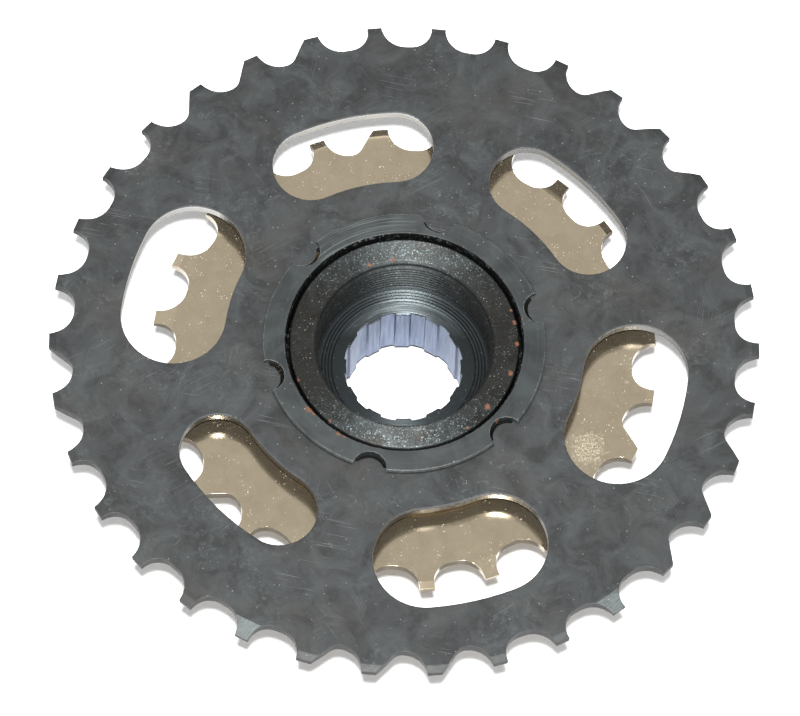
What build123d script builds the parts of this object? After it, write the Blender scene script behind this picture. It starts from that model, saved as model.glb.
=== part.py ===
"""Six-speed thread-on freewheel cluster for a bicycle hub, in millimetres.

+Z is the axis of rotation and points to the hub side. The origin is on the axis, in the plane of
the smallest sprocket's outer face, on which the cluster stands. "Rear" is the hub side (+Z),
"front" the outer side (-Z).
"""
from build123d import *
import math
import os

os.makedirs("parts", exist_ok=True)

# ---- chain and sprocket stack -------------------------------------------------------------
CHAIN_PITCH = 12.7
PLATE = 2.0                    # thickness of every sprocket
SPACING = 5.5                  # from one sprocket's face to the next one's
TEETH = (34, 24, 20, 18, 16, 14)
STACK = SPACING * (len(TEETH) - 1) + PLATE
ROOT_DROP = 3.92               # tooth root below the pitch circle
TIP_RISE = {34: 0.6, 24: 0.95, 20: 0.9, 18: 0.9, 16: 0.9, 14: 0.9}
VALLEY_PHASE = {34: 4.81, 24: 12.8, 20: 9.0, 18: 0.0, 16: 11.25, 14: 0.0}
SHIFT_VALLEYS = {
    34: (3, 4, 5, 10, 11, 12, 17, 18, 24, 25, 26, 30, 31, 32),
    24: (6, 14, 22),
    20: (2, 9, 15),
    18: (3, 9, 15),
    16: (4, 12),
    14: (),
}
FACET_TEETH = {34: (22, 28), 24: (2, 10, 18)}   # teeth whose rear face is dressed to a slope
DRIVE_ARC = 4.85               # radius of the steep flank that the chain pushes on
TRAIL_ARC = 3.95               # radius of the ordinary trailing flank
TRAIL_SHIFT = 1.2              # flat at the bottom of the tooth space
SLANT_ARC = 2.6                # radius at the foot of a cut-back flank
SLANT_ANGLE = 48.0             # slope of a cut-back flank
RIM_BEVEL = 0.35               # bevel of the tooth tips, per face
RIM_BEVEL_WIDTH = 1.5
FACET_DROP = 1.1
FACET_RISE = 0.9               # facet starts this far above the tooth root

# ---- 34T windows --------------------------------------------------------------------------
WINDOW_PHASE = 43.7
WINDOW_INNER = 35.3
WINDOW_OUTER_SMALL = 50.3
WINDOW_OUTER_LARGE = 55.8
WINDOW_HALF_SPAN = 21.6        # degrees from the middle to the rounded end
LARGE_WINDOWS = (2, 4, 5)      # counted counter-clockwise from WINDOW_PHASE
WINDOW_EDGE = 0.3              # rounding of the punched edge, rear face
WINDOW_BAND = (30.0, 60.0)     # radii between which every window edge lies

# ---- outer body ---------------------------------------------------------------------------
FLANGE_R = 27.8
FLANGE_T = 1.3
BARREL_R = 26.6                # carries the four large sprockets
SMALL_BARREL_R = 23.4          # carries the 16T
BOSS_R = 22.3                  # thread for the 14T
REAR_BORE_R = 23.1
CHAMBER_R = 21.4
RELIEF_R = 22.9
FRONT_BORE_R = 20.6
LIP_R = 19.2
SPROCKET_FIT = 0.15
KEY_COUNT = 6
KEY_PHASE = 15.5
KEYWAY_R = 3.3
KEYWAY_CENTRE = 27.7
LUG_R = 3.0
LUG_CENTRE = 28.2
SMALL_KEYWAY_R = 1.5
SMALL_KEYWAY_CENTRE = 23.9
SMALL_LUG_R = 1.2
SMALL_LUG_CENTRE = 24.2
BARREL_FRONT_Z = 11.2
SMALL_BARREL_FRONT_Z = 5.7
BOSS_FRONT_Z = 0.3
REAR_RACE_Z = 24.9             # step between the rear bore and the chamber
CHAMBER_FRONT_Z = 21.0
LIP_REAR_Z = 9.3
FRONT_RACE_Z = 7.9             # step between the lip and the front bore
EDGE_BREAK = 0.3

# ---- inner body ---------------------------------------------------------------------------
INNER_REAR_Z = STACK + 0.4
INNER_FRONT_Z = STACK - 25.6
SHOULDER_Z = STACK - 10.5      # bottom of the hub thread
INNER_FLANGE_R = 22.5
NECK_R = 19.5
PAWL_DRUM_R = 20.5
CONE_THREAD_R = 15.0
MOUTH_R = 18.0                 # chamfered mouth of the hub thread
THREAD_MINOR_R = 16.9
THREAD_MAJOR_R = 17.46         # 1.375 inch major diameter
THREAD_PITCH = 25.4 / 24
SOCKET_MAJOR_R = 11.7
SOCKET_MINOR_R = 11.25
SOCKET_SPLINES = 12
LAND_WIDTH = 2.6
SPLINE_SLOPE = 1.6             # degrees between a land's edge and the full depth
THREAD_RUNOUT = 0.9            # plain wall below the thread
TURNING_RIDGES = 4
RIDGE_START = 0.4              # first ridge, inward of the thread
RIDGE_STEP = 0.62
RIDGE_WIDTH = 0.6
RIDGE_DEPTH = 0.22
DRUM_REAR_Z = 22.5
NECK_FRONT_Z = 23.5
NECK_REAR_Z = 26.6

# ---- bearings -----------------------------------------------------------------------------
BALL_R = 25.4 / 16             # 1/8 inch balls
RACE_R = BALL_R + 0.07
REAR_BALL_CIRCLE = 20.85
REAR_BALL_Z = 25.6
REAR_BALLS = 38
FRONT_BALL_CIRCLE = 18.6
FRONT_BALL_Z = 7.2
FRONT_BALLS = 34
CONE_R = 20.2
CONE_NECK_R = 17.4
CONE_FRONT_Z = 3.2
CONE_FLANGE_Z = 6.4
CONE_REAR_Z = 9.0
SHIM_THICK = 0.5
SHIM_THIN = 0.3
PIN_HOLE_R = 1.2
PIN_HOLE_CIRCLE = 17.7

# ---- ratchet and pawls --------------------------------------------------------------------
RATCHET_TEETH = 24
RATCHET_ROOT_R = 22.8
RATCHET_PHASE = -0.3
RATCHET_Z = (11.5, 18.5)
PAWL_Z = (12.1, 17.9)
PAWL_PIVOT = (19.2, 23.0)      # radius, degrees
PAWL_HEEL_R = 1.5
PAWL_OUTER = ((21.15, 0.0), (20.9, 8.0), (20.5, 19.0))
PAWL_INNER = ((17.95, 19.0), (18.4, 9.0), (18.7, 0.0))
PAWL_SWING = 10.0
PAWL_CLEARANCE = 0.08
LEAF_OUTLINE = ((17.55, 13.0), (17.8, 13.5), (18.52, 3.0), (18.25, 2.6))
LEAF_RECESS = ((17.4, 14.5), (18.9, 14.5), (18.9, 1.5), (17.95, 1.5))


# ---- helpers ------------------------------------------------------------------------------
def polar(radius, degrees):
    """Point at a radius and an angle."""
    angle = math.radians(degrees)
    return Vector(radius * math.cos(angle), radius * math.sin(angle))


def turned(points):
    """Solid of revolution about Z from (radius, z) points."""
    outline = Polyline(*[(r, 0, z) for r, z in points], close=True)
    return revolve(make_face(outline), axis=Axis.Z)


def ring(outer, inner, low, high):
    """Plain ring between two heights."""
    return Pos(0, 0, low) * extrude(Circle(outer) - Circle(inner), high - low)


def groove(circle, height):
    """Ball track: a torus on a ball circle."""
    return Pos(0, 0, height) * Torus(circle, RACE_R)


def polygon_face(points):
    """Face from (radius, degrees) points."""
    return make_face(Polyline(*[polar(r, a) for r, a in points], close=True))


def prism(face, low, high):
    """Face drawn at z = 0, extruded between two heights."""
    return Pos(0, 0, low) * extrude(face, high - low)


def around(count, phase, radius, size):
    """Circles spaced evenly on a larger circle, as one sketch."""
    sketch = Sketch()
    for k in range(count):
        sketch += Pos(polar(radius, phase + 360 * k / count)) * Circle(size)
    return sketch


# ---- sprockets ----------------------------------------------------------------------------
def pitch_radius(teeth):
    return CHAIN_PITCH / (2 * math.sin(math.pi / teeth))


def valley_edges(angle, root, tip, cut_back):
    """Edges of one tooth space, clockwise tip first, drive flank last, and its two tip points."""
    def at(across, up):
        out = polar(1, angle)
        return Vector(up * out.X - across * out.Y, up * out.Y + across * out.X)

    drive_centre = root + DRIVE_ARC
    drive_up = (tip**2 - DRIVE_ARC**2 + drive_centre**2) / (2 * drive_centre)
    drive_across = math.sqrt(tip**2 - drive_up**2)
    half = math.atan2(drive_across, drive_centre - drive_up) / 2
    bottom = at(0, root)
    drive_tip = at(drive_across, drive_up)
    drive_mid = at(DRIVE_ARC * math.sin(half), drive_centre - DRIVE_ARC * math.cos(half))
    drive = ThreePointArc(bottom, drive_mid, drive_tip)
    trail_across = TRAIL_SHIFT + TRAIL_ARC
    trail_tip = at(-trail_across, math.sqrt(tip**2 - trail_across**2))
    if cut_back:
        turn = math.radians(SLANT_ANGLE)
        foot = at(-SLANT_ARC * math.sin(turn), root + SLANT_ARC * (1 - math.cos(turn)))
        mid = at(-SLANT_ARC * math.sin(turn / 2), root + SLANT_ARC * (1 - math.cos(turn / 2)))
        trail = [Line(trail_tip, foot), ThreePointArc(foot, mid, bottom)]
    else:
        start = at(-trail_across, root + TRAIL_ARC)
        diagonal = TRAIL_ARC * math.sqrt(0.5)
        mid = at(-TRAIL_SHIFT - diagonal, root + TRAIL_ARC - diagonal)
        flat = at(-TRAIL_SHIFT, root)
        trail = [Line(trail_tip, start), ThreePointArc(start, mid, flat), Line(flat, bottom)]
    return trail + [drive], trail_tip, drive_tip


def tooth_outline(teeth):
    """Closed face inside the tooth outline of a sprocket."""
    root = pitch_radius(teeth) - ROOT_DROP
    tip = pitch_radius(teeth) + TIP_RISE[teeth]
    step = 360 / teeth
    valleys = [
        valley_edges(VALLEY_PHASE[teeth] + step * k, root, tip, k in SHIFT_VALLEYS[teeth])
        for k in range(teeth)
    ]
    edges = []
    for k in range(teeth):
        flanks, _, drive_tip = valleys[k]
        next_tip = valleys[(k + 1) % teeth][1]
        crest = (drive_tip + next_tip).normalized() * tip
        edges += flanks
        edges.append(ThreePointArc(drive_tip, crest, next_tip))
    return Face(Wire([edge.edge() for edge in edges]))


def rim_bevel(tip):
    """Envelope that bevels both faces of a sprocket towards its tooth tips."""
    inner = tip - RIM_BEVEL_WIDTH
    return turned([
        (0, 0), (inner, 0), (tip + 1, RIM_BEVEL * (tip + 1 - inner) / RIM_BEVEL_WIDTH),
        (tip + 1, PLATE - RIM_BEVEL * (tip + 1 - inner) / RIM_BEVEL_WIDTH), (inner, PLATE), (0, PLATE),
    ])


def tooth_facet(teeth, number):
    """Wedge that dresses the rear face of one tooth to an outward slope."""
    start = pitch_radius(teeth) - ROOT_DROP + FACET_RISE
    tip = pitch_radius(teeth) + TIP_RISE[teeth]
    angle = VALLEY_PHASE[teeth] + 360 / teeth * (number + 0.5)
    profile = Polyline((start, 0, PLATE), (tip + 1, 0, PLATE - FACET_DROP),
                       (tip + 1, 0, PLATE + 1), (start, 0, PLATE + 1), close=True)
    wedge = extrude(make_face(profile), CHAIN_PITCH * 0.42, both=True)
    return Rot(0, 0, angle) * wedge


def toothed_plate(teeth):
    """Sprocket plate with no centre cut, rear face at z = PLATE."""
    plate = extrude(tooth_outline(teeth), PLATE)
    plate = plate & rim_bevel(pitch_radius(teeth) + TIP_RISE[teeth])
    for number in FACET_TEETH.get(teeth, ()):
        plate -= tooth_facet(teeth, number)
    return plate


def keyed_bore(bore, lugs):
    """Sketch of a bore with lugs that reach into the body's keyways."""
    return Circle(bore) - lugs


def window(middle, outer):
    """Kidney-shaped window with full round ends, as a sketch."""
    centre = (WINDOW_INNER + outer) / 2
    width = outer - WINDOW_INNER
    reach = WINDOW_HALF_SPAN - math.degrees(width / 2 / centre)
    arc = CenterArc((0, 0), centre, middle - reach, 2 * reach)
    return SlotArc(arc, width)


def cut_windows(plate):
    """Six windows through the plate, their rear edges rounded."""
    for k in range(6):
        outer = WINDOW_OUTER_LARGE if k in LARGE_WINDOWS else WINDOW_OUTER_SMALL
        plate -= extrude(window(WINDOW_PHASE + 60 * k, outer), PLATE)
    rear_edges = plate.edges().filter_by_position(Axis.Z, PLATE, PLATE)
    punched = []
    for edge in rear_edges:
        middle = edge @ 0.5
        if WINDOW_BAND[0] < math.hypot(middle.X, middle.Y) < WINDOW_BAND[1]:
            punched.append(edge)
    return fillet(punched, WINDOW_EDGE)


def make_sprocket(teeth):
    """One sprocket at its height in the stack."""
    plate = toothed_plate(teeth)
    if teeth == 16:
        lugs = around(KEY_COUNT, KEY_PHASE, SMALL_LUG_CENTRE, SMALL_LUG_R)
        plate -= extrude(keyed_bore(SMALL_BARREL_R + SPROCKET_FIT, lugs), PLATE)
    elif teeth == 14:
        boss_r = pitch_radius(14) - ROOT_DROP - 0.4
        plate += Pos(0, 0, PLATE) * extrude(Circle(boss_r), SPACING - PLATE)
        plate -= extrude(Circle(BOSS_R + 0.05), SPACING)
    else:
        lugs = around(KEY_COUNT, KEY_PHASE, LUG_CENTRE, LUG_R)
        plate -= extrude(keyed_bore(BARREL_R + SPROCKET_FIT, lugs), PLATE)
    if teeth == 34:
        plate = cut_windows(plate)
    height = STACK - PLATE - SPACING * TEETH.index(teeth)
    return Pos(0, 0, height) * plate


def make_spacer(gap):
    """Ring between sprocket number gap and the next smaller one."""
    high = STACK - PLATE - SPACING * gap
    low = high - (SPACING - PLATE)
    smaller_root = pitch_radius(TEETH[gap + 1]) - ROOT_DROP
    outer = min(33.0, smaller_root - 0.6)
    inner = BARREL_R + SPROCKET_FIT if TEETH[gap + 1] > 16 else SMALL_BARREL_R + SPROCKET_FIT
    return ring(outer, inner, low, high)


# ---- bodies -------------------------------------------------------------------------------
def ratchet_space():
    """Face inside the saw-toothed ratchet ring; its steep faces look counter-clockwise."""
    step = 360 / RATCHET_TEETH
    edges = []
    for k in range(RATCHET_TEETH):
        angle = RATCHET_PHASE + step * k
        crest = polar(CHAMBER_R, angle)
        root = polar(RATCHET_ROOT_R, angle)
        middle = polar((CHAMBER_R + RATCHET_ROOT_R) / 2 + 0.05, angle + step / 2)
        edges += [Line(crest, root), ThreePointArc(root, middle, polar(CHAMBER_R, angle + step))]
    return Face(Wire([edge.edge() for edge in edges]))


def make_outer_body():
    """Barrel that carries the sprockets, with the ratchet and both outer ball races inside."""
    rear = STACK + FLANGE_T
    body = turned([
        (FRONT_BORE_R, BOSS_FRONT_Z), (BOSS_R - 0.5, BOSS_FRONT_Z), (BOSS_R, BOSS_FRONT_Z + 0.5),
        (BOSS_R, SMALL_BARREL_FRONT_Z), (SMALL_BARREL_R, SMALL_BARREL_FRONT_Z),
        (SMALL_BARREL_R, BARREL_FRONT_Z), (BARREL_R, BARREL_FRONT_Z), (BARREL_R, STACK),
        (FLANGE_R, STACK), (FLANGE_R, rear - EDGE_BREAK), (FLANGE_R - EDGE_BREAK, rear),
        (REAR_BORE_R + EDGE_BREAK, rear), (REAR_BORE_R, rear - EDGE_BREAK),
        (REAR_BORE_R, REAR_RACE_Z), (CHAMBER_R, REAR_RACE_Z), (CHAMBER_R, CHAMBER_FRONT_Z),
        (RELIEF_R, CHAMBER_FRONT_Z - 0.5), (RELIEF_R, RATCHET_Z[1]),
        (CHAMBER_R - 0.5, RATCHET_Z[1]), (CHAMBER_R - 0.5, RATCHET_Z[0]),
        (RELIEF_R, RATCHET_Z[0]), (RELIEF_R, LIP_REAR_Z), (LIP_R, LIP_REAR_Z),
        (LIP_R, FRONT_RACE_Z), (FRONT_BORE_R, FRONT_RACE_Z),
    ])
    body -= prism(ratchet_space(), *RATCHET_Z)
    body -= groove(REAR_BALL_CIRCLE, REAR_BALL_Z)
    body -= groove(FRONT_BALL_CIRCLE, FRONT_BALL_Z)
    body -= prism(around(KEY_COUNT, KEY_PHASE, KEYWAY_CENTRE, KEYWAY_R), BARREL_FRONT_Z, rear)
    small_keyways = around(KEY_COUNT, KEY_PHASE, SMALL_KEYWAY_CENTRE, SMALL_KEYWAY_R)
    body -= prism(small_keyways, SMALL_BARREL_FRONT_Z, BARREL_FRONT_Z)
    return body


def thread_cut():
    """Hub thread as rings of its pitch, with the chamfered mouth."""
    height = SHOULDER_Z + THREAD_RUNOUT
    points = [(0, SHOULDER_Z), (THREAD_MAJOR_R, SHOULDER_Z), (THREAD_MAJOR_R, height)]
    crest = THREAD_PITCH / 4
    flank = (THREAD_PITCH - crest) / 2
    while height + THREAD_PITCH < INNER_REAR_Z - (MOUTH_R - THREAD_MINOR_R):
        points += [
            (THREAD_MINOR_R, height + flank),
            (THREAD_MINOR_R, height + flank + crest),
            (THREAD_MAJOR_R, height + THREAD_PITCH),
        ]
        height += THREAD_PITCH
    points += [(THREAD_MAJOR_R, INNER_REAR_Z - (MOUTH_R - THREAD_MAJOR_R)), (MOUTH_R, INNER_REAR_Z)]
    points += [(MOUTH_R, INNER_REAR_Z + 1), (0, INNER_REAR_Z + 1)]
    return turned(points)


def shoulder_ridges():
    """Shallow turning grooves in the floor of the hub thread."""
    rings = Part()
    for k in range(TURNING_RIDGES):
        radius = THREAD_MINOR_R - RIDGE_START - RIDGE_STEP * k
        rings += turned([
            (radius, SHOULDER_Z + 0.01),
            (radius - RIDGE_WIDTH / 2, SHOULDER_Z - RIDGE_DEPTH),
            (radius - RIDGE_WIDTH, SHOULDER_Z + 0.01),
        ])
    return rings


def socket_face():
    """Outline of the twelve-spline tool socket."""
    step = 360 / SOCKET_SPLINES
    half_land = math.degrees(LAND_WIDTH / 2 / SOCKET_MINOR_R)
    edges = []
    for k in range(SOCKET_SPLINES):
        middle = step * k
        land_start = polar(SOCKET_MINOR_R, middle - half_land)
        land_end = polar(SOCKET_MINOR_R, middle + half_land)
        space_start = polar(SOCKET_MAJOR_R, middle + half_land + SPLINE_SLOPE)
        space_end = polar(SOCKET_MAJOR_R, middle + step - half_land - SPLINE_SLOPE)
        next_land = polar(SOCKET_MINOR_R, middle + step - half_land)
        edges += [
            ThreePointArc(land_start, polar(SOCKET_MINOR_R, middle), land_end),
            Line(land_end, space_start),
            ThreePointArc(space_start, polar(SOCKET_MAJOR_R, middle + step / 2), space_end),
            Line(space_end, next_land),
        ]
    return Face(Wire([edge.edge() for edge in edges]))


def pawl_outline():
    """Pawl seen along Z, lying clear of the ratchet, its nose clockwise of its round heel."""
    blade = polygon_face(PAWL_OUTER + PAWL_INNER)
    return blade + Pos(polar(*PAWL_PIVOT)) * Circle(PAWL_HEEL_R)


def about_pivot(degrees, shape):
    """Turn a shape about the pawl's pivot."""
    pivot = polar(*PAWL_PIVOT)
    return Pos(pivot) * Rot(0, 0, degrees) * Pos(-pivot) * shape


def pawl_pocket():
    """Pocket that holds one pawl through its swing, with the recess for its leaf spring."""
    low = PAWL_Z[0] - 0.1
    high = PAWL_Z[1] + 0.1
    roomy = offset(pawl_outline(), PAWL_CLEARANCE)
    pocket = prism(polygon_face(LEAF_RECESS), low, high)
    for share in (0, 0.35, 0.7, 1.05):
        pocket += prism(about_pivot(PAWL_SWING * share, roomy), low, high)
    return pocket


def make_inner_body():
    """Body that screws on the hub, with the tool socket, the pawl pockets and the rear race."""
    shoulder = CONE_REAR_Z + SHIM_THICK + SHIM_THIN
    body = turned([
        (0, INNER_FRONT_Z), (CONE_THREAD_R - 0.5, INNER_FRONT_Z), (CONE_THREAD_R, INNER_FRONT_Z + 0.5),
        (CONE_THREAD_R, shoulder), (PAWL_DRUM_R, shoulder), (PAWL_DRUM_R, DRUM_REAR_Z),
        (NECK_R, NECK_FRONT_Z), (NECK_R, NECK_REAR_Z), (INNER_FLANGE_R, NECK_REAR_Z),
        (INNER_FLANGE_R, INNER_REAR_Z - EDGE_BREAK), (INNER_FLANGE_R - EDGE_BREAK, INNER_REAR_Z),
        (0, INNER_REAR_Z),
    ])
    body -= groove(REAR_BALL_CIRCLE, REAR_BALL_Z)
    body -= thread_cut()
    body -= shoulder_ridges()
    body -= prism(socket_face(), INNER_FRONT_Z - 1, SHOULDER_Z + 1)
    for turn in (0, 180):
        body -= Rot(0, 0, turn) * pawl_pocket()
    return body


def make_front_cone():
    """Threaded front race with two pin holes for its spanner."""
    cone = turned([
        (CONE_THREAD_R + 0.08, CONE_FRONT_Z), (CONE_R - EDGE_BREAK, CONE_FRONT_Z),
        (CONE_R, CONE_FRONT_Z + EDGE_BREAK),
        (CONE_R, CONE_FLANGE_Z), (CONE_NECK_R, CONE_FLANGE_Z), (CONE_NECK_R, CONE_REAR_Z),
        (CONE_THREAD_R + 0.08, CONE_REAR_Z),
    ])
    cone -= groove(FRONT_BALL_CIRCLE, FRONT_BALL_Z)
    for angle in (90, 270):
        hole = Pos(polar(PIN_HOLE_CIRCLE, angle)) * Circle(PIN_HOLE_R)
        cone -= prism(hole, CONE_FRONT_Z - 1, CONE_FRONT_Z + 1.9)
    return cone


def make_balls(count, circle, height):
    """Full row of loose balls as separate solids."""
    balls = []
    for k in range(count):
        centre = polar(circle, 360 * k / count)
        balls.append(Pos(centre.X, centre.Y, height) * Sphere(BALL_R))
    return Compound([solid for ball in balls for solid in ball.solids()])


# ---- build --------------------------------------------------------------------------------
def build():
    """All nodes by name."""
    nodes = {}
    for teeth in TEETH:
        nodes[f"sprocket_{teeth}t"] = make_sprocket(teeth)
    for gap in range(len(TEETH) - 2):
        nodes[f"spacer_{TEETH[gap]}_{TEETH[gap + 1]}"] = make_spacer(gap)
    nodes["outer_body"] = make_outer_body()
    nodes["inner_body"] = make_inner_body()
    nodes["front_cone"] = make_front_cone()
    shim_joint = CONE_REAR_Z + SHIM_THICK
    nodes["shim_thick"] = ring(18.0, CONE_THREAD_R + 0.15, CONE_REAR_Z, shim_joint)
    nodes["shim_thin"] = ring(18.0, CONE_THREAD_R + 0.15, shim_joint, shim_joint + SHIM_THIN)
    for name, turn in (("a", 0), ("b", 180)):
        nodes[f"pawl_{name}"] = Rot(0, 0, turn) * prism(pawl_outline(), *PAWL_Z)
        leaf = prism(polygon_face(LEAF_OUTLINE), PAWL_Z[0] + 1.2, PAWL_Z[1] - 1.2)
        nodes[f"pawl_leaf_{name}"] = Rot(0, 0, turn) * leaf
    nodes["rear_balls"] = make_balls(REAR_BALLS, REAR_BALL_CIRCLE, REAR_BALL_Z)
    nodes["front_balls"] = make_balls(FRONT_BALLS, FRONT_BALL_CIRCLE, FRONT_BALL_Z)
    return nodes


for node_name, node in build().items():
    export_step(node, f"parts/{node_name}.step")
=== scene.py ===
"""Looks of a six-speed freewheel cluster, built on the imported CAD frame."""
import math

import bpy
from mathutils import Matrix, Vector


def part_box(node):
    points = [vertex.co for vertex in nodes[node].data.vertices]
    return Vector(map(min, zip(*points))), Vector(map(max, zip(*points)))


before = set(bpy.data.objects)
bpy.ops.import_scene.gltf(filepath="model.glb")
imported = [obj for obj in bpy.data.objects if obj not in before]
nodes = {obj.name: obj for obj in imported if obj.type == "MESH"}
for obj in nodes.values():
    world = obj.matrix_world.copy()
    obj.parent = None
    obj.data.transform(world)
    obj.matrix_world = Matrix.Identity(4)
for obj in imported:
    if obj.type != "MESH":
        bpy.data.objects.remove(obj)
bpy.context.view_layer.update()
scene = bpy.context.scene

MM = 1000.0                                  # millimetres in a metre

# ---- camera, light and floor, in metres ---------------------------------------------------
CAMERA_AT = Vector((-0.02969, -0.65007, 1.45003))
LOOK = Vector((0.018462, 0.414465, -0.909878)).normalized()
ROLL = -2.55                                 # degrees about the line of sight
LENS = 360.0                                 # focal length, in millimetres
SENSOR = 36.0                                # sensor width, in millimetres
KEY_RISE = 0.10                              # key light above the camera
KEY_SIZE = 0.075
KEY_POWER = 52.0                             # watts
FLOOR_REACH = 2.5                            # half the floor's width
FLOOR_DROP = 0.0003                          # gap under the part
SKY_SINES = (0.45, 0.85)                     # sine of the elevation: between these the sky dims
SKY_STRENGTHS = (1.15, 0.60)


# ---- where each finish begins and ends, in millimetres ------------------------------------
def face_height(name):
    """Height of a node's highest face, in millimetres."""
    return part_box(name)[1].z * MM


PLATE_FACE = face_height("sprocket_34t")
FLANGE_FACE = face_height("outer_body")
INNER_FACE = face_height("inner_body")
SHOULDER = PLATE_FACE - 10.5                 # bottom of the hub thread

# Bands: a finish lies between the two values.
WINDOW_BAND = (34.0, 57.5)                   # radii of the windows' walls
THREAD_BAND = (SHOULDER + 0.1, INNER_FACE - 0.6)
SHOULDER_BAND = (SHOULDER - 0.4, SHOULDER + 0.1)
SHOULDER_RADII = (11.0, 17.4)
# Radii of the painted highlight on the shoulder.
SHOULDER_HIGHLIGHT_RADII = (11.0, 14.2)

# Ramps: a finish begins at the first value and is full from the second one on.
OUTER_WALLS = (43.0, 46.0)                   # radii, from the windows' inner walls to the outer ones
RIM_WALLS = (60.0, 61.0)
TIP_BEVELS = (64.0, 66.0)
BODY_LIP = (23.48, 23.34)                    # radii at the two sides of the running gap
INNER_LIP = (22.20, 22.40)
THREAD_RADII = (18.3, 18.1)
SOCKET_RADII = (12.4, 12.1)
# Top of the window walls, where a highlight is painted along them.
WALL_TOP_HIGHLIGHT_HEIGHTS = (PLATE_FACE - 0.6, PLATE_FACE - 0.2)
BODY_RUST_HEIGHTS = (FLANGE_FACE - 2.2, FLANGE_FACE - 1.2)
INNER_RUST_HEIGHTS = (INNER_FACE - 1.0, INNER_FACE - 0.3)
KEYWAY_HEIGHTS = (FLANGE_FACE - 1.4, FLANGE_FACE - 2.4)
SOCKET_HEIGHTS = (SHOULDER - 0.05, SHOULDER - 0.3)
CHIPPED_HEIGHTS = (SHOULDER - 0.65, SHOULDER - 0.5)
LIT_WALL_ANGLES = (1.30, 1.36)              # radians about Z: the outer walls beyond are paler, as painted light
# The shoulder's painted highlight fades in along +Y.
SHOULDER_HIGHLIGHT_Y = (6.0, 11.0)
FAR_FROM_X_AXIS = (9.0, 18.0)

# Ramps of how level a surface is, as the size of its normal's Z part: 0 is an upright wall.
BEVEL_SLOPES = (0.995, 0.98)
WALL_SLOPES = (0.75, 0.45)
TOOTH_SIDE_SLOPES = (0.7, 0.4)
KEYWAY_SLOPES = (0.8, 0.3)
SOCKET_SLOPES = (0.8, 0.5)

# Marks at chosen places: degrees about Z, radius and size.
# Two teeth whose facets carry file marks and a painted highlight.
HIGHLIT_TEETH = ((305.5, 67.5, 5.0), (242.0, 67.5, 5.0))
# Spots where a reflection is painted on the window walls.
WALL_REFLECTION_SPOTS = ((298, 37.0, 10.0), (6, 44.0, 9.0), (95, 50.0, 8.0), (60, 49.0, 6.0))
DUSTY_PATCH = ((331, 41.0, 4.2),)
LATHE_HIGHLIGHT_ARCS = ((104, 26.0, 9.0), (118, 26.0, 8.0))
BODY_RUST = (
    (218, 23.6, 0.9), (221, 23.3, 0.6), (237, 23.4, 0.7),
    (240, 23.3, 0.5), (12, 23.3, 0.45), (317, 24.6, 0.4),
)
INNER_RUST = (
    (0, 22.1, 0.6), (12, 22.2, 0.6), (19, 22.2, 0.4), (320, 21.0, 0.7), (343, 21.6, 0.6),
    (229, 22.2, 0.5), (97, 18.2, 0.5), (112, 18.2, 0.4), (304, 21.8, 0.4), (201, 22.2, 0.4),
)
# Near black: painted shade on the lips beside the running gap.
GAP_SHADE_BLACK = (0.003, 0.003, 0.003)


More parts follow.
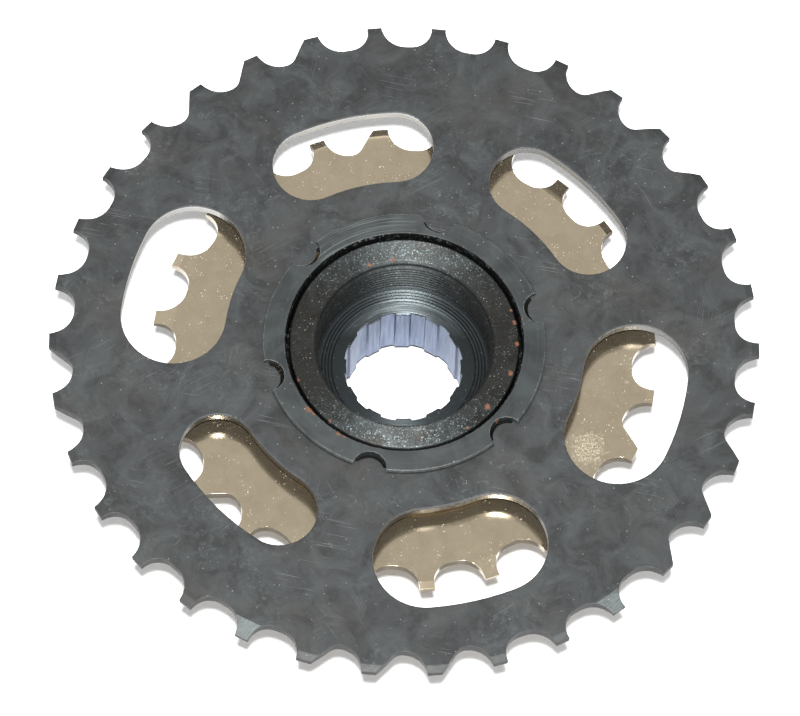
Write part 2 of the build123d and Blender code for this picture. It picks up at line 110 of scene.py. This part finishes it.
# ---- node helper --------------------------------------------------------------------------
class Surface:
    """One procedural Principled material.

    Its places and lengths are in millimetres and its noise scales per millimetre, in the
    node's own frame, so that the marks move with the piece.
    """

    def __init__(self, name, metallic=0.0, specular=0.5):
        self.mat = bpy.data.materials.new(name)
        self.mat.use_nodes = True
        self.tree = self.mat.node_tree
        self.bsdf = self.tree.nodes["Principled BSDF"]
        self.bsdf.inputs["Metallic"].default_value = metallic
        self.bsdf.inputs["Specular IOR Level"].default_value = specular
        coord = self.node("ShaderNodeTexCoord")
        scaled = self.node("ShaderNodeVectorMath", operation="SCALE")
        self.link(coord.outputs["Object"], scaled.inputs[0])
        scaled.inputs["Scale"].default_value = MM
        self.point = scaled.outputs[0]
        split = self.node("ShaderNodeSeparateXYZ")
        self.link(self.point, split.inputs[0])
        self.x, self.y, self.z = split.outputs
        squares = self.math("ADD", self.mul(self.x, self.x), self.mul(self.y, self.y))
        self.radius = self.math("SQRT", squares)
        self.angle = self.math("ARCTAN2", self.y, self.x)
        facing = self.node("ShaderNodeSeparateXYZ")
        self.link(coord.outputs["Normal"], facing.inputs[0])
        self.level = self.math("ABSOLUTE", facing.outputs[2])

    def node(self, kind, **settings):
        """Adds one node with the given settings."""
        made = self.tree.nodes.new(kind)
        for key, value in settings.items():
            setattr(made, key, value)
        return made

    def link(self, source, target):
        self.tree.links.new(source, target)

    def feed(self, socket, value):
        """Puts a number, a colour or another node's output into a socket."""
        if isinstance(value, bpy.types.NodeSocket):
            self.link(value, socket)
        elif isinstance(value, tuple):
            socket.default_value = (*value, 1.0)
        else:
            socket.default_value = value

    def math(self, operation, a, b=None):
        made = self.node("ShaderNodeMath", operation=operation)
        self.feed(made.inputs[0], a)
        if b is not None:
            self.feed(made.inputs[1], b)
        return made.outputs[0]

    def mul(self, *values):
        """Product of two or more values."""
        out = values[0]
        for value in values[1:]:
            out = self.math("MULTIPLY", out, value)
        return out

    def rescale(self, value, low, high, to_low=0.0, to_high=1.0):
        """Maps low..high to to_low..to_high and holds the ends."""
        made = self.node("ShaderNodeMapRange", clamp=True)
        self.feed(made.inputs["Value"], value)
        made.inputs["From Min"].default_value = low
        made.inputs["From Max"].default_value = high
        made.inputs["To Min"].default_value = to_low
        made.inputs["To Max"].default_value = to_high
        return made.outputs["Result"]

    def band(self, value, low, high, soft):
        """1 between low and high, falling to 0 over soft on both sides."""
        rising = self.rescale(value, low - soft, low)
        falling = self.rescale(value, high, high + soft, 1.0, 0.0)
        return self.math("MULTIPLY", rising, falling)

    def mix(self, share, a, b):
        """Colour a, or b where share is 1. Inputs 6 and 7 and output 2 are the colour ones."""
        made = self.node("ShaderNodeMix", data_type="RGBA", clamp_factor=True)
        self.feed(made.inputs[0], share)
        self.feed(made.inputs[6], a)
        self.feed(made.inputs[7], b)
        return made.outputs[2]

    def blend(self, share, a, b):
        """Number a, or b where share is 1. Inputs 2 and 3 and output 0 are the number ones."""
        made = self.node("ShaderNodeMix", data_type="FLOAT", clamp_factor=True)
        self.feed(made.inputs[0], share)
        self.feed(made.inputs[2], a)
        self.feed(made.inputs[3], b)
        return made.outputs[0]

    def vector(self, x, y, z):
        made = self.node("ShaderNodeCombineXYZ")
        for socket, value in zip(made.inputs, (x, y, z)):
            self.feed(socket, value)
        return made.outputs[0]

    def moved(self, degrees=0.0, stretch=(1.0, 1.0, 1.0), shift=0.0):
        """The point turned about Z, then squeezed and shifted: noise read there runs in streaks."""
        turn = self.node("ShaderNodeVectorRotate", rotation_type="Z_AXIS")
        self.link(self.point, turn.inputs["Vector"])
        turn.inputs["Angle"].default_value = math.radians(degrees)
        made = self.node("ShaderNodeMapping", vector_type="POINT")
        self.link(turn.outputs[0], made.inputs["Vector"])
        made.inputs["Scale"].default_value = stretch
        made.inputs["Location"].default_value = (shift, shift * 0.7, 0.0)
        return made.outputs[0]

    def spots(self, places, ragged=1.0):
        """Ragged spots at places given as degrees about Z, radius and size."""
        total = None
        fray = self.mul(self.math("SUBTRACT", self.noise(1.1, 4.0, 0.7), 0.5), 2.0 * ragged)
        for degrees, radius, size in places:
            angle = math.radians(degrees)
            centre = (radius * math.cos(angle), radius * math.sin(angle), 0.0)
            gap = self.node("ShaderNodeVectorMath", operation="DISTANCE")
            self.link(self.vector(self.x, self.y, 0.0), gap.inputs[0])
            gap.inputs[1].default_value = centre
            reach = self.math("ADD", self.math("DIVIDE", gap.outputs["Value"], size), fray)
            spot = self.rescale(reach, 0.55, 1.0, 1.0, 0.0)
            total = spot if total is None else self.math("MAXIMUM", total, spot)
        return total

    def brushed(self, amount):
        """Spreads highlights across the turning marks, as on lathe-turned faces."""
        tangent = self.node("ShaderNodeTangent", direction_type="RADIAL", axis="Z")
        self.link(tangent.outputs[0], self.bsdf.inputs["Tangent"])
        self.bsdf.inputs["Anisotropic"].default_value = amount
        self.bsdf.inputs["Anisotropic Rotation"].default_value = 0.25

    def noise(self, scale, detail, rough, at=None, warp=0.0):
        made = self.node("ShaderNodeTexNoise", noise_dimensions="3D")
        self.feed(made.inputs["Vector"], at or self.point)
        made.inputs["Scale"].default_value = scale
        made.inputs["Detail"].default_value = detail
        made.inputs["Roughness"].default_value = rough
        made.inputs["Distortion"].default_value = warp
        return made.outputs["Fac"]

    def specks(self, scale, share, size=0.35):
        """Small round specks. Share is how many of the cells hold one, size is in cells."""
        made = self.node("ShaderNodeTexVoronoi", voronoi_dimensions="3D", feature="F1")
        self.link(self.point, made.inputs["Vector"])
        made.inputs["Scale"].default_value = scale
        chosen = self.node("ShaderNodeSeparateColor")
        self.link(made.outputs["Color"], chosen.inputs[0])
        picked = self.math("LESS_THAN", chosen.outputs[0], share)
        near = self.rescale(made.outputs["Distance"], size * 0.5, size, 1.0, 0.0)
        return self.mul(picked, near, chosen.outputs[1])

    def edges(self, radius):
        """Normal rounded at the edges, and a mask of where the rounding changes it."""
        bevel = self.node("ShaderNodeBevel", samples=4)
        bevel.inputs["Radius"].default_value = radius / MM
        geometry = self.node("ShaderNodeNewGeometry")
        dot = self.node("ShaderNodeVectorMath", operation="DOT_PRODUCT")
        self.link(bevel.outputs[0], dot.inputs[0])
        self.link(geometry.outputs["Normal"], dot.inputs[1])
        return bevel.outputs[0], self.rescale(dot.outputs["Value"], 0.98, 0.80)

    def bump(self, height, depth, normal=None):
        """Normal of a height field that stands depth high where its value is 1."""
        made = self.node("ShaderNodeBump")
        self.feed(made.inputs["Height"], height)
        made.inputs["Distance"].default_value = depth / MM
        if normal is not None:
            self.link(normal, made.inputs["Normal"])
        return made.outputs[0]

    def finish(self, colour, rough, normal=None, metallic=None):
        """Feeds the shader and returns the material."""
        values = {"Base Color": colour, "Roughness": rough, "Normal": normal, "Metallic": metallic}
        for name, value in values.items():
            if value is not None:
                self.feed(self.bsdf.inputs[name], value)
        return self.mat


def scratches(s, angles):
    """Fine straight scratches in several directions, each direction in its own patches."""
    width, length = 0.3, 9.0
    squeeze = (1 / length, 1 / width, 1 / width)
    total = None
    for number, degrees in enumerate(angles):
        streak = s.noise(1.0, 1.0, 0.4, at=s.moved(degrees, squeeze, 13.7 * number))
        patch = s.noise(0.07, 2.0, 0.5, at=s.moved(degrees, shift=71.0 + 40 * number))
        line = s.mul(s.rescale(streak, 0.66, 0.72), s.rescale(patch, 0.56, 0.66))
        total = line if total is None else s.math("MAXIMUM", total, line)
    return total


def lathe(s, pitch, spread=3.0):
    """Concentric turning marks. A larger spread makes them change sooner along their arcs."""
    rings = s.vector(s.mul(s.radius, 1 / pitch), s.mul(s.angle, spread), s.mul(s.z, 1 / pitch))
    return s.noise(1.0, 2.0, 0.6, at=rings)


# ---- materials ----------------------------------------------------------------------------
def window_walls(s, upright):
    """Punched window walls: their mask, their colour with painted reflections and painted light, and
    the share that is outer wall.
    """
    wall = s.mul(upright, s.band(s.radius, *WINDOW_BAND, 0.5))
    drag = s.noise(1.0, 3.0, 0.6, at=s.vector(s.mul(s.x, 2.2), s.mul(s.y, 2.2), s.mul(s.z, 0.25)))
    dragged = s.mix(s.rescale(drag, 0.35, 0.70), (0.15, 0.15, 0.15), (0.33, 0.33, 0.32))
    # Painted reflections on the walls: raw steel at chosen spots, and a painted highlight along their
    # top; dark elsewhere.
    raw_steel_reflections = s.math("MAXIMUM", s.spots(WALL_REFLECTION_SPOTS, 0.6), s.mul(s.rescale(s.z, *WALL_TOP_HIGHLIGHT_HEIGHTS), 0.5))
    steel = s.mix(raw_steel_reflections, (0.020, 0.021, 0.022), dragged)
    outer = s.rescale(s.radius, *OUTER_WALLS)
    # Outer walls pale as raw steel, and paler still past the given angles as painted light.
    pale = s.mul(outer, s.rescale(s.angle, *LIT_WALL_ANGLES, 0.45, 1.0))
    pale_steel = s.mix(pale, (0.010, 0.010, 0.011), (0.37, 0.37, 0.365))
    return wall, s.mix(outer, steel, pale_steel), outer


def stained_oxide(s, clouds, smudge):
    """Colour of cloudy oxide with bluish smudges, brown patches and pale stains."""
    colour = s.mix(s.rescale(clouds, 0.41, 0.59), (0.0070, 0.0078, 0.0079), (0.0262, 0.0293, 0.0298))
    colour = s.mix(s.rescale(smudge, 0.46, 0.62, 0.0, 0.7), colour, (0.0135, 0.0158, 0.0165))
    brown = s.rescale(s.noise(0.06, 4.0, 0.6, at=s.moved(20, shift=310.0)), 0.5, 0.66, 0.0, 0.40)
    colour = s.mix(brown, colour, (0.026, 0.0225, 0.018))
    pale = s.rescale(s.noise(0.55, 6.0, 0.72, warp=1.5), 0.52, 0.68)
    pale = s.mul(pale, s.rescale(s.noise(0.08, 3.0, 0.5, at=s.moved(shift=500.0)), 0.48, 0.60))
    return s.mix(s.mul(pale, 0.55), colour, (0.058, 0.068, 0.067))


def black_plate():
    """Black-oxidised stamped plate; punched walls of raw steel with painted reflections and painted
    light, and rim walls in painted shade.
    """
    s = Surface("black_oxide_plate")
    clouds = s.noise(0.13, 6.0, 0.62, warp=0.8)
    smudge = s.noise(0.42, 5.0, 0.65, warp=0.5)
    colour = stained_oxide(s, clouds, smudge)
    # Scratches, two teeth with file marks and a painted highlight on their facets, and dust.
    lines = scratches(s, (12, 58, 101, 149))
    colour = s.mix(s.mul(lines, 0.22), colour, (0.080, 0.088, 0.088))
    sloping = s.rescale(s.level, *BEVEL_SLOPES)
    highlit_teeth = s.mul(s.spots(HIGHLIT_TEETH, 0.3), sloping)
    strokes = s.noise(1.0, 3.0, 0.7, at=s.moved(-35, (0.5, 4.0, 1.0)))
    filed_highlight = s.mul(highlit_teeth, s.rescale(strokes, 0.40, 0.62, 0.25, 0.9))
    colour = s.mix(filed_highlight, colour, (0.075, 0.092, 0.092))
    dust = s.specks(2.1, 0.03)
    colour = s.mix(s.mul(dust, 0.55), colour, (0.24, 0.25, 0.24))
    # Darker, duller tooth tips, and rim walls painted near black as painted shade.
    bevel = s.mul(sloping, s.rescale(s.radius, *TIP_BEVELS), s.math("SUBTRACT", 1.0, highlit_teeth))
    colour = s.mix(s.mul(bevel, 0.2), colour, (0.006, 0.007, 0.0075))
    upright = s.rescale(s.level, *WALL_SLOPES)
    rim_wall_shade = s.mul(upright, s.rescale(s.radius, *RIM_WALLS))
    colour = s.mix(s.mul(rim_wall_shade, 0.85), colour, (0.004, 0.004, 0.0045))
    s.feed(s.bsdf.inputs["Specular IOR Level"], s.blend(rim_wall_shade, s.blend(bevel, 0.5, 0.44), 0.22))
    # Worn edges, then the window walls.
    rounded, edge = s.edges(0.30)
    worn = s.mul(edge, s.rescale(s.noise(0.6, 4.0, 0.6), 0.40, 0.60, 0.10, 0.6))
    colour = s.mix(worn, colour, (0.13, 0.12, 0.105))
    wall, steel, outer = window_walls(s, upright)
    colour = s.mix(wall, colour, steel)
    rough = s.blend(smudge, 0.36, 0.62)
    rough = s.blend(wall, rough, s.rescale(outer, 0.0, 1.0, 0.28, 0.6))
    grain = s.math("ADD", s.mul(s.noise(2.8, 5.0, 0.7), 0.8), s.mul(clouds, 1.6))
    height = s.math("SUBTRACT", grain, s.mul(lines, 0.6))
    metal = s.mul(wall, s.rescale(outer, 0.0, 1.0, 0.9, 0.0))
    return s.finish(colour, rough, s.bump(height, 0.035, rounded), metal)


def nickel():
    """Nickel-plated plate: bright, warm, faintly grained, with fine glints painted as bright specks.
    """
    s = Surface("nickel_plate")
    # Cloudy plating, and its grain, painted glints and one dusty patch.
    clouds = s.noise(0.22, 5.0, 0.6, warp=0.5)
    colour = s.mix(s.rescale(clouds, 0.35, 0.65), (0.550, 0.455, 0.318), (0.620, 0.520, 0.370))
    bunch = s.rescale(s.noise(0.30, 3.0, 0.6, at=s.moved(shift=55.0)), 0.44, 0.62, 0.15, 1.0)
    fine = s.math("MAXIMUM", s.specks(4.4, 0.10, size=0.44), s.specks(2.6, 0.04, size=0.30))
    painted_sparkle = s.math("MINIMUM", s.mul(fine, bunch, 1.2), 1.0)
    grain = s.rescale(s.noise(5.5, 3.0, 0.75), 0.38, 0.66)
    dusty = s.mul(s.spots(DUSTY_PATCH, 1.0), s.rescale(s.noise(3.2, 4.0, 0.75), 0.44, 0.64))
    colour = s.mix(s.mul(grain, 0.22), colour, (0.36, 0.32, 0.24))
    colour = s.mix(s.mul(painted_sparkle, 0.8), colour, (0.88, 0.84, 0.70))
    colour = s.mix(s.mul(dusty, 0.35), colour, (0.52, 0.53, 0.43))
    # Darker tooth sides and brown stains.
    side = s.rescale(s.level, *TOOTH_SIDE_SLOPES)
    colour = s.mix(s.mul(side, 0.55), colour, (0.20, 0.18, 0.15))
    stain = s.rescale(s.noise(0.7, 5.0, 0.65), 0.58, 0.74, 0.0, 0.3)
    colour = s.mix(stain, colour, (0.40, 0.33, 0.22))
    rounded, edge = s.edges(0.12)
    rough = s.blend(clouds, 0.09, 0.17)
    rough = s.blend(painted_sparkle, rough, 0.5)
    height = s.math("ADD", s.mul(s.noise(3.2, 3.0, 0.6), 0.6), s.mul(painted_sparkle, 0.9))
    normal = s.bump(height, 0.007, rounded)
    # Painted highlight along the edges.
    colour = s.mix(s.mul(edge, 0.15), colour, (0.80, 0.76, 0.68))
    matte = s.mul(s.math("MAXIMUM", painted_sparkle, dusty), 0.7)
    metal = s.math("SUBTRACT", 1.0, s.math("MAXIMUM", s.mul(grain, 0.13), matte))
    return s.finish(colour, rough, normal, metal)


def zinc():
    """Yellow-passivated zinc on the spacer rings."""
    s = Surface("yellow_zinc")
    clouds = s.noise(0.35, 4.0, 0.6, warp=1.0)
    colour = s.mix(s.rescale(clouds, 0.35, 0.65), (0.62, 0.42, 0.18), (0.72, 0.60, 0.34))
    colour = s.mix(s.rescale(s.noise(0.8, 4.0, 0.6), 0.55, 0.70, 0.0, 0.5), colour, (0.62, 0.42, 0.46))
    rounded, edge = s.edges(0.2)
    around = s.vector(s.mul(s.angle, 4.0), s.mul(s.radius, 3.0), s.mul(s.z, 5.0))
    marks = s.noise(1.0, 3.0, 0.6, at=around)
    rough = s.blend(marks, 0.22, 0.36)
    colour = s.mix(s.mul(edge, 0.5), colour, (0.62, 0.60, 0.55))
    metal = s.rescale(clouds, 0.3, 0.7, 0.95, 0.75)
    return s.finish(colour, rough, s.bump(marks, 0.010, rounded), metal)


def black_body():
    """Black-oxidised turned body with lathe marks and a painted highlight along them, painted shade in
    the keyway walls and beside the running gap, and a little rust at its bore.
    """
    s = Surface("black_oxide_turned")
    # Turned face: lathe marks painted lighter as a painted highlight, most of all on two arcs, where
    # they also stand deeper.
    clouds = s.noise(0.16, 5.0, 0.6, warp=0.6)
    marks = lathe(s, 0.46, 0.7)
    highlit_arcs = s.spots(LATHE_HIGHLIGHT_ARCS, 0.5)
    arcs = s.math("ADD", s.mul(highlit_arcs, 0.93), 0.07)
    colour = s.mix(s.rescale(clouds, 0.36, 0.64), (0.0095, 0.0118, 0.0120), (0.0215, 0.0262, 0.0260))
    line = s.mul(s.rescale(marks, 0.50, 0.60), arcs)
    colour = s.mix(s.mul(line, 0.8), colour, (0.066, 0.080, 0.079))
    colour = s.mix(s.mul(s.specks(1.8, 0.03), 0.6), colour, (0.26, 0.26, 0.25))
    rounded, edge = s.edges(0.3)
    worn = s.mul(edge, s.rescale(s.noise(0.8, 4.0, 0.6), 0.40, 0.60, 0.05, 0.8))
    colour = s.mix(worn, colour, (0.24, 0.24, 0.225))
    # Rust at the bore, painted shade growing with depth down the keyway walls, and painted shade on
    # the lip of the running gap.
    rust = s.mul(s.spots(BODY_RUST), s.rescale(s.z, *BODY_RUST_HEIGHTS))
    rust_colour = s.mix(s.noise(1.9, 4.0, 0.6), (0.035, 0.014, 0.008), (0.20, 0.075, 0.032))
    colour = s.mix(s.mul(rust, 0.8), colour, rust_colour)
    keyway_shade = s.mul(s.rescale(s.z, *KEYWAY_HEIGHTS), s.rescale(s.level, *KEYWAY_SLOPES))
    colour = s.mix(s.mul(keyway_shade, 0.7), colour, (0.008, 0.008, 0.009))
    lip = s.rescale(s.radius, *BODY_LIP)
    gap_shade = s.mul(lip, s.rescale(s.noise(1.2, 3.0, 0.6), 0.62, 0.55))
    colour = s.mix(gap_shade, colour, GAP_SHADE_BLACK)
    rough = s.blend(clouds, 0.38, 0.54)
    rough = s.blend(s.math("MAXIMUM", rust, lip), rough, 0.85)
    s.feed(s.bsdf.inputs["Specular IOR Level"], s.blend(lip, 0.5, 0.03))
    height = s.math("ADD", s.mul(marks, arcs), s.mul(s.noise(3.0, 4.0, 0.7), 0.4))
    s.brushed(0.25)
    return s.finish(colour, rough, s.bump(height, 0.045, rounded))


def tool_socket(s):
    """Bright tool socket with a chipped top edge: its mask, its colour, and the chips' mask."""
    bored = s.mul(s.rescale(s.radius, *SOCKET_RADII), s.rescale(s.z, *SOCKET_HEIGHTS))
    socket = s.mul(bored, s.rescale(s.level, *SOCKET_SLOPES))
    along = s.vector(s.mul(s.angle, 22.0), s.mul(s.radius, 0.8), s.mul(s.z, 0.10))
    streaks = s.noise(1.0, 3.0, 0.6, at=along)
    lilac = s.mix(s.rescale(streaks, 0.36, 0.64), (0.115, 0.145, 0.215), (0.205, 0.250, 0.350))
    ragged = s.mul(s.math("SUBTRACT", s.noise(0.9, 3.0, 0.6), 0.5), 2.4)
    chips = s.mul(socket, s.rescale(s.math("ADD", s.z, ragged), *CHIPPED_HEIGHTS))
    return socket, lilac, chips


def oily_face(s, clouds, grit_and_glints):
    """Colour of the greasy face: browner near the X axis, with painted glints, stronger away from it,
    and specks of dust painted bright as their glints.
    """
    colour = s.mix(s.rescale(clouds, 0.36, 0.64), (0.030, 0.032, 0.031), (0.060, 0.068, 0.068))
    brown = s.rescale(s.noise(0.18, 5.0, 0.7, at=s.moved(shift=140.0)), 0.50, 0.64, 0.0, 0.6)
    far_from_x = s.rescale(s.math("ABSOLUTE", s.y), *FAR_FROM_X_AXIS)
    brown = s.math("MAXIMUM", brown, s.rescale(far_from_x, 0.0, 1.0, 0.55, 0.0))
    colour = s.mix(brown, colour, (0.040, 0.034, 0.027))
    painted_glint = s.rescale(s.noise(2.9, 2.0, 0.7, at=s.moved(shift=9.0)), 0.56, 0.66)
    painted_glint = s.mul(painted_glint, s.rescale(s.noise(0.7, 3.0, 0.6), 0.44, 0.58, 0.2, 1.0))
    painted_glint = s.mul(painted_glint, s.rescale(far_from_x, 0.0, 1.0, 0.25, 1.0))
    colour = s.mix(s.mul(painted_glint, 0.9), colour, (0.25, 0.31, 0.315))
    return s.mix(s.mul(grit_and_glints, 0.8), colour, (0.26, 0.26, 0.24))


def black_inner():
    """Oily turned inner body: grime and dust specks on the face with painted glints, turned shoulder
    with a painted highlight, bright tool socket, painted shade at the running gap.
    """
    s = Surface("black_oxide_oily")
    clouds = s.noise(0.24, 5.0, 0.65, warp=0.8)
    marks = lathe(s, 0.38, 1.2)
    # Specks of dust, painted bright to stand also for their glints.
    grit_and_glints = s.math("MAXIMUM", s.specks(3.6, 0.09, size=0.44), s.specks(1.9, 0.03, size=0.28))
    colour = oily_face(s, clouds, grit_and_glints)
    # Worn edges and rust.
    rounded, edge = s.edges(0.25)
    worn = s.mul(edge, s.rescale(s.noise(0.9, 4.0, 0.6), 0.42, 0.60, 0.0, 0.6))
    colour = s.mix(worn, colour, (0.22, 0.21, 0.19))
    rust = s.mul(s.spots(INNER_RUST), s.rescale(s.z, *INNER_RUST_HEIGHTS))
    rust_colour = s.mix(s.noise(1.9, 4.0, 0.6), (0.045, 0.016, 0.009), (0.25, 0.085, 0.034))
    colour = s.mix(s.mul(rust, 0.85), colour, rust_colour)
    # Dark thread, painted shade on the lip at the running gap, bright shoulder with a painted
    # highlight on its lathe marks towards +Y, and the socket.
    thread = s.mul(s.band(s.z, *THREAD_BAND, 0.3), s.rescale(s.radius, *THREAD_RADII))
    colour = s.mix(s.mul(thread, 0.62), colour, (0.012, 0.015, 0.016))
    lip = s.rescale(s.radius, *INNER_LIP)
    # Painted shade on the lip beside the running gap.
    colour = s.mix(s.mul(lip, 0.85), colour, GAP_SHADE_BLACK)
    at_shoulder = s.band(s.z, *SHOULDER_BAND, 0.15)
    shoulder = s.mul(at_shoulder, s.band(s.radius, *SHOULDER_RADII, 0.2))
    colour = s.mix(s.mul(shoulder, 0.8), colour, (0.052, 0.062, 0.066))
    shoulder_highlight = s.mul(at_shoulder, s.band(s.radius, *SHOULDER_HIGHLIGHT_RADII, 0.4), s.rescale(s.y, *SHOULDER_HIGHLIGHT_Y))
    shoulder_highlight = s.mul(shoulder_highlight, s.rescale(marks, 0.42, 0.60, 0.25, 1.0))
    colour = s.mix(shoulder_highlight, colour, (0.19, 0.22, 0.23))
    socket, lilac, chips = tool_socket(s)
    colour = s.mix(socket, colour, lilac)
    colour = s.mix(chips, colour, (0.012, 0.013, 0.014))
    dull = s.math("MAXIMUM", s.mul(rust, 0.8), s.mul(grit_and_glints, 0.6))
    metal = s.math("SUBTRACT", 0.9, dull)
    rough = s.blend(clouds, 0.40, 0.58)
    rough = s.blend(rust, rough, 0.85)
    rough = s.blend(socket, rough, 0.34)
    rough = s.blend(shoulder, rough, 0.36)
    height = s.math("ADD", s.mul(marks, 0.7), s.mul(grit_and_glints, 0.7))
    height = s.math("ADD", height, s.mul(s.noise(2.6, 4.0, 0.7), 0.8))
    s.brushed(0.8)
    return s.finish(colour, rough, s.bump(height, 0.040, rounded), metal)


def turned_steel(name, dark, light, rough_low, rough_high, pitch):
    """Turned or ground steel with concentric marks and oil stains."""
    s = Surface(name, metallic=0.9)
    clouds = s.noise(0.3, 4.0, 0.6, warp=0.5)
    marks = lathe(s, pitch)
    tone = s.math("ADD", s.mul(marks, 0.5), s.mul(clouds, 0.5))
    colour = s.mix(s.rescale(tone, 0.35, 0.65), dark, light)
    stain = s.rescale(s.noise(0.8, 5.0, 0.65), 0.56, 0.72, 0.0, 0.5)
    colour = s.mix(stain, colour, tuple(c * 0.4 for c in dark))
    rounded, edge = s.edges(0.2)
    colour = s.mix(s.mul(edge, 0.4), colour, tuple(min(1.0, c * 1.5) for c in light))
    rough = s.blend(clouds, rough_low, rough_high)
    return s.finish(colour, rough, s.bump(marks, 0.02, rounded))


def ball_steel():
    """Polished balls under a thin film of grease."""
    s = Surface("ball_steel_greased", metallic=1.0)
    film = s.noise(0.9, 3.0, 0.6, warp=0.6)
    colour = s.mix(s.rescale(film, 0.45, 0.65), (0.70, 0.70, 0.72), (0.56, 0.50, 0.40))
    return s.finish(colour, s.rescale(film, 0.4, 0.7, 0.08, 0.30), s.bump(film, 0.01))


def floor_card():
    """Pale matte card under the part."""
    s = Surface("pale_card", specular=0.1)
    fibre = s.noise(0.5, 4.0, 0.6)
    colour = s.mix(fibre, (0.86, 0.86, 0.86), (0.89, 0.89, 0.89))
    return s.finish(colour, 0.9)


def dress(material, *names):
    """Puts one material on every slot of the named nodes."""
    for name in names:
        for slot in nodes[name].material_slots:
            slot.material = material


cone_steel = turned_steel("cone_turned", (0.10, 0.10, 0.105), (0.22, 0.22, 0.23), 0.28, 0.45, 0.4)
strip_steel = turned_steel("spring_strip", (0.22, 0.24, 0.30), (0.40, 0.41, 0.46), 0.25, 0.40, 0.6)
pawl_steel = turned_steel("pawl_ground", (0.28, 0.27, 0.26), (0.44, 0.43, 0.42), 0.22, 0.36, 0.8)
dress(black_plate(), "sprocket_34t")
dress(nickel(), "sprocket_24t", "sprocket_20t", "sprocket_18t", "sprocket_16t", "sprocket_14t")
dress(zinc(), "spacer_34_24", "spacer_24_20", "spacer_20_18", "spacer_18_16")
dress(black_body(), "outer_body")
dress(black_inner(), "inner_body")
dress(cone_steel, "front_cone")
dress(strip_steel, "shim_thick", "shim_thin", "pawl_leaf_a", "pawl_leaf_b")
dress(pawl_steel, "pawl_a", "pawl_b")
dress(ball_steel(), "rear_balls", "front_balls")


# ---- floor, light, camera -----------------------------------------------------------------
def add_floor():
    """Large pale card just under the part."""
    reach = FLOOR_REACH
    corners = [(-reach, -reach), (reach, -reach), (reach, reach), (-reach, reach)]
    mesh = bpy.data.meshes.new("floor")
    mesh.from_pydata([(x, y, -FLOOR_DROP) for x, y in corners], [], [(0, 1, 2, 3)])
    mesh.materials.append(floor_card())
    floor = bpy.data.objects.new("floor", mesh)
    scene.collection.objects.link(floor)


def add_key(place, target):
    """One round soft light above the camera."""
    lamp = bpy.data.lights.new("key", "AREA")
    lamp.shape = "DISK"
    lamp.size = KEY_SIZE
    lamp.energy = KEY_POWER
    holder = bpy.data.objects.new("key", lamp)
    holder.location = place
    holder.rotation_mode = "QUATERNION"
    holder.rotation_quaternion = (target - place).to_track_quat("-Z", "Y")
    scene.collection.objects.link(holder)


def add_camera():
    """Camera at the chosen place. Returns the direction that is up in its picture."""
    lens = bpy.data.cameras.new("camera")
    lens.lens = LENS
    lens.sensor_width = SENSOR
    lens.clip_start = 0.01
    lens.clip_end = 20.0
    camera = bpy.data.objects.new("camera", lens)
    right = LOOK.cross(Vector((0, 0, 1))).normalized()
    up = right.cross(LOOK)
    turn = Matrix.Rotation(math.radians(ROLL), 3, LOOK)
    right, up = turn @ right, turn @ up
    axes = Matrix((right, up, -LOOK)).transposed()
    camera.matrix_world = Matrix.Translation(CAMERA_AT) @ axes.to_4x4()
    scene.collection.objects.link(camera)
    scene.camera = camera
    return up


def add_world():
    """Even studio light, brighter near the horizon than overhead."""
    world = bpy.data.worlds.new("studio")
    world.use_nodes = True
    tree = world.node_tree
    sky = tree.nodes["Background"]
    coord = tree.nodes.new("ShaderNodeTexCoord")
    split = tree.nodes.new("ShaderNodeSeparateXYZ")
    ramp = tree.nodes.new("ShaderNodeMapRange")
    tree.links.new(coord.outputs["Generated"], split.inputs[0])
    tree.links.new(split.outputs[2], ramp.inputs["Value"])
    ends = (*SKY_SINES, *SKY_STRENGTHS)
    for name, value in zip(("From Min", "From Max", "To Min", "To Max"), ends):
        ramp.inputs[name].default_value = value
    tree.links.new(ramp.outputs[0], sky.inputs["Strength"])
    sky.inputs["Color"].default_value = (0.98, 0.99, 1.0, 1.0)
    scene.world = world


add_floor()
picture_up = add_camera()
add_key(CAMERA_AT + picture_up * KEY_RISE, Vector((0, 0, PLATE_FACE / MM)))
add_world()
scene.view_settings.view_transform = "Standard"
